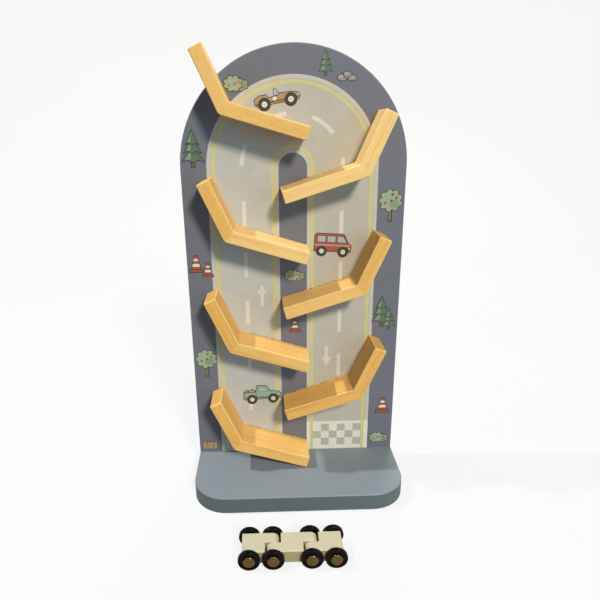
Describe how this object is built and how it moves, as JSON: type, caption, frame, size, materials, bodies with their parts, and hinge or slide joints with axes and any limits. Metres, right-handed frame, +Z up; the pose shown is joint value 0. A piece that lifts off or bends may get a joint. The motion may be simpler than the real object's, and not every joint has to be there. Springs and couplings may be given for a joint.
{
  "type": "click clack track",
  "caption": "Free-standing wooden click clack track: an arched back board on a foot, mitred ramps staggered left and right, and a jointed wooden car that tumbles down them.",
  "frame": {"origin": "middle of the underside of the base, on the surface that it stands on", "axes": "+X to the right as seen from the front, +Y to the back, +Z up"},
  "size_m": [0.22, 0.1923, 0.444],
  "materials": {
    "board_paint": "matt grey paint with a printed road, on board",
    "base_paint": "satin blue-grey paint on board",
    "ramp_wood": "clear satin varnish on pale hardwood",
    "car_paint": "satin cream paint",
    "wheel_black": "gloss black moulded plastic",
    "cap_bronze": "satin bronze plating",
    "axle_steel": "plain steel rod",
    "screw_zinc": "zinc plated",
    "dowel_wood": "plain hardwood"
  },
  "bodies": {
    "track": {"back_board": "board_paint", "base_plate": "base_paint", "ramp_left_1": "ramp_wood", "ramp_left_2": "ramp_wood", "ramp_left_3": "ramp_wood", "ramp_left_4": "ramp_wood", "ramp_right_1": "ramp_wood", "ramp_right_2": "ramp_wood", "ramp_right_3": "ramp_wood", "catch_left_1": "ramp_wood", "catch_left_2": "ramp_wood", "catch_left_3": "ramp_wood", "catch_left_4": "ramp_wood", "catch_right_1": "ramp_wood", "catch_right_2": "ramp_wood", "catch_right_3": "ramp_wood", "ramp_screws": "screw_zinc", "base_screws": "screw_zinc", "base_dowels": "dowel_wood"},
    "car_middle": {"car_middle_block": "car_paint", "axle_2": "axle_steel", "axle_2_caps": "cap_bronze", "axle_3": "axle_steel", "axle_3_caps": "cap_bronze"},
    "car_left": {"car_left_block": "car_paint", "axle_1": "axle_steel", "axle_1_caps": "cap_bronze"},
    "car_right": {"car_right_block": "car_paint", "axle_4": "axle_steel", "axle_4_caps": "cap_bronze"},
    "wheel_1_front": {"wheel_1_front": "wheel_black"},
    "wheel_1_back": {"wheel_1_back": "wheel_black"},
    "wheel_2_front": {"wheel_2_front": "wheel_black"},
    "wheel_2_back": {"wheel_2_back": "wheel_black"},
    "wheel_3_front": {"wheel_3_front": "wheel_black"},
    "wheel_3_back": {"wheel_3_back": "wheel_black"},
    "wheel_4_front": {"wheel_4_front": "wheel_black"},
    "wheel_4_back": {"wheel_4_back": "wheel_black"}
  },
  "joints": [
    {"name": "car_roll", "type": "slide", "parent": "track", "child": "car_middle", "axis": [1, 0, 0], "range_m": [-0.06, 0.06]},
    {"name": "left_fold", "type": "hinge", "parent": "car_middle", "child": "car_left", "pos_m": [-0.02875, -0.1165, 0.01], "axis": [0, 1, 0], "range_deg": [-95, 95]},
    {"name": "right_fold", "type": "hinge", "parent": "car_middle", "child": "car_right", "pos_m": [0.00575, -0.1165, 0.01], "axis": [0, -1, 0], "range_deg": [-95, 95]},
    {"name": "wheel_1_front_spin", "type": "hinge", "parent": "car_left", "child": "wheel_1_front", "pos_m": [-0.05025, -0.1165, 0.01], "axis": [0, 1, 0], "continuous": true},
    {"name": "wheel_1_back_spin", "type": "hinge", "parent": "car_left", "child": "wheel_1_back", "pos_m": [-0.05025, -0.1165, 0.01], "axis": [0, 1, 0], "continuous": true},
    {"name": "wheel_2_front_spin", "type": "hinge", "parent": "car_middle", "child": "wheel_2_front", "pos_m": [-0.02875, -0.1165, 0.01], "axis": [0, 1, 0], "continuous": true},
    {"name": "wheel_2_back_spin", "type": "hinge", "parent": "car_middle", "child": "wheel_2_back", "pos_m": [-0.02875, -0.1165, 0.01], "axis": [0, 1, 0], "continuous": true},
    {"name": "wheel_3_front_spin", "type": "hinge", "parent": "car_middle", "child": "wheel_3_front", "pos_m": [0.00575, -0.1165, 0.01], "axis": [0, 1, 0], "continuous": true},
    {"name": "wheel_3_back_spin", "type": "hinge", "parent": "car_middle", "child": "wheel_3_back", "pos_m": [0.00575, -0.1165, 0.01], "axis": [0, 1, 0], "continuous": true},
    {"name": "wheel_4_front_spin", "type": "hinge", "parent": "car_right", "child": "wheel_4_front", "pos_m": [0.02725, -0.1165, 0.01], "axis": [0, 1, 0], "continuous": true},
    {"name": "wheel_4_back_spin", "type": "hinge", "parent": "car_right", "child": "wheel_4_back", "pos_m": [0.02725, -0.1165, 0.01], "axis": [0, 1, 0], "continuous": true}
  ]
}
